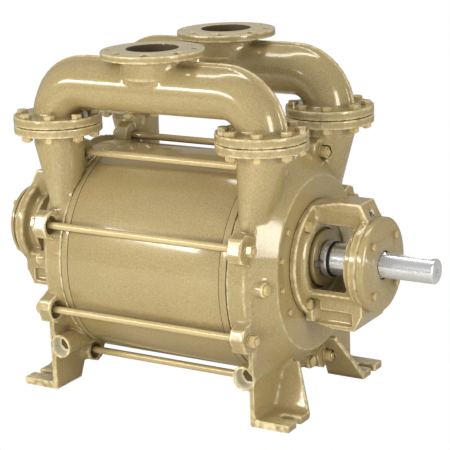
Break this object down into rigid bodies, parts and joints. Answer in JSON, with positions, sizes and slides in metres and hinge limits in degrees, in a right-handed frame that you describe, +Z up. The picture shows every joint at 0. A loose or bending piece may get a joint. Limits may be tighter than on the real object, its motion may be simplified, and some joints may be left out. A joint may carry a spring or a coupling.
{
  "type": "liquid ring vacuum pump",
  "caption": "Cast iron liquid ring vacuum pump with a bare shaft end, a tie-rod barrel, cast end covers on feet and two arched pipe manifolds with flanged outlets on top.",
  "frame": {"origin": "on the floor under the shaft axis, midway between the two end covers", "axes": "+X along the shaft towards its driven end, +Y to the back side, +Z up"},
  "size_m": [1.19, 0.5948, 0.88],
  "materials": {
    "enamel": "gloss",
    "painted_fastener": "gloss",
    "bright_steel": "polished",
    "steel": "satin",
    "bronze": "satin",
    "brass": "satin",
    "rubber": "matte",
    "seal_face": "satin",
    "gasket": "matte",
    "valve": "satin"
  },
  "bodies": {
    "stator": {"casing": "enamel", "drive_port_plate": "enamel", "rear_port_plate": "enamel", "drive_end_cover": "enamel", "rear_end_cover": "enamel", "front_manifold": "enamel", "back_manifold": "enamel", "drive_bearing_bracket": "enamel", "rear_bearing_bracket": "enamel", "drive_bearing_cover": "enamel", "rear_bearing_cover": "enamel", "casing_gaskets": "gasket", "manifold_gaskets": "gasket", "valve_sheets": "valve", "valve_stops": "steel", "tie_rods": "painted_fastener", "tie_rod_washers": "painted_fastener", "tie_rod_nuts": "painted_fastener", "manifold_bolts": "painted_fastener", "manifold_nuts": "painted_fastener", "port_plate_screws": "painted_fastener", "bracket_bolts": "painted_fastener", "bearing_cover_screws": "painted_fastener", "gland_studs": "steel", "gland_nuts": "steel", "pipe_plugs": "painted_fastener", "grease_nipples": "steel", "stationary_seal_rings": "seal_face", "seal_glands": "enamel", "drive_lip_seal": "rubber", "drive_outer_race": "bright_steel", "rear_outer_race": "bright_steel"},
    "rotor": {"shaft": "bright_steel", "impeller": "bronze", "impeller_key": "steel", "shaft_sleeves": "bright_steel", "rotating_seal_heads": "bright_steel", "seal_drive_collars": "bright_steel", "v_rings": "rubber", "drive_inner_race": "bright_steel", "rear_inner_race": "bright_steel", "lock_washers": "steel", "bearing_locknuts": "steel"},
    "drive_ball_set": {"drive_bearing_cage": "brass", "drive_bearing_balls": "bright_steel"},
    "rear_ball_set": {"rear_bearing_cage": "brass", "rear_bearing_balls": "bright_steel"}
  },
  "joints": [
    {"name": "rotor_spin", "type": "hinge", "parent": "stator", "child": "rotor", "pos_m": [0, 0, 0.36], "axis": [1, 0, 0], "continuous": true},
    {"name": "drive_balls_roll", "type": "hinge", "parent": "stator", "child": "drive_ball_set", "pos_m": [0.478, 0, 0.36], "axis": [1, 0, 0], "continuous": true},
    {"name": "rear_balls_roll", "type": "hinge", "parent": "stator", "child": "rear_ball_set", "pos_m": [-0.478, 0, 0.36], "axis": [1, 0, 0], "continuous": true}
  ],
  "couplings": [
    {"joint": "drive_balls_roll", "follows": "rotor_spin", "ratio": 0.387},
    {"joint": "rear_balls_roll", "follows": "rotor_spin", "ratio": 0.387}
  ]
}
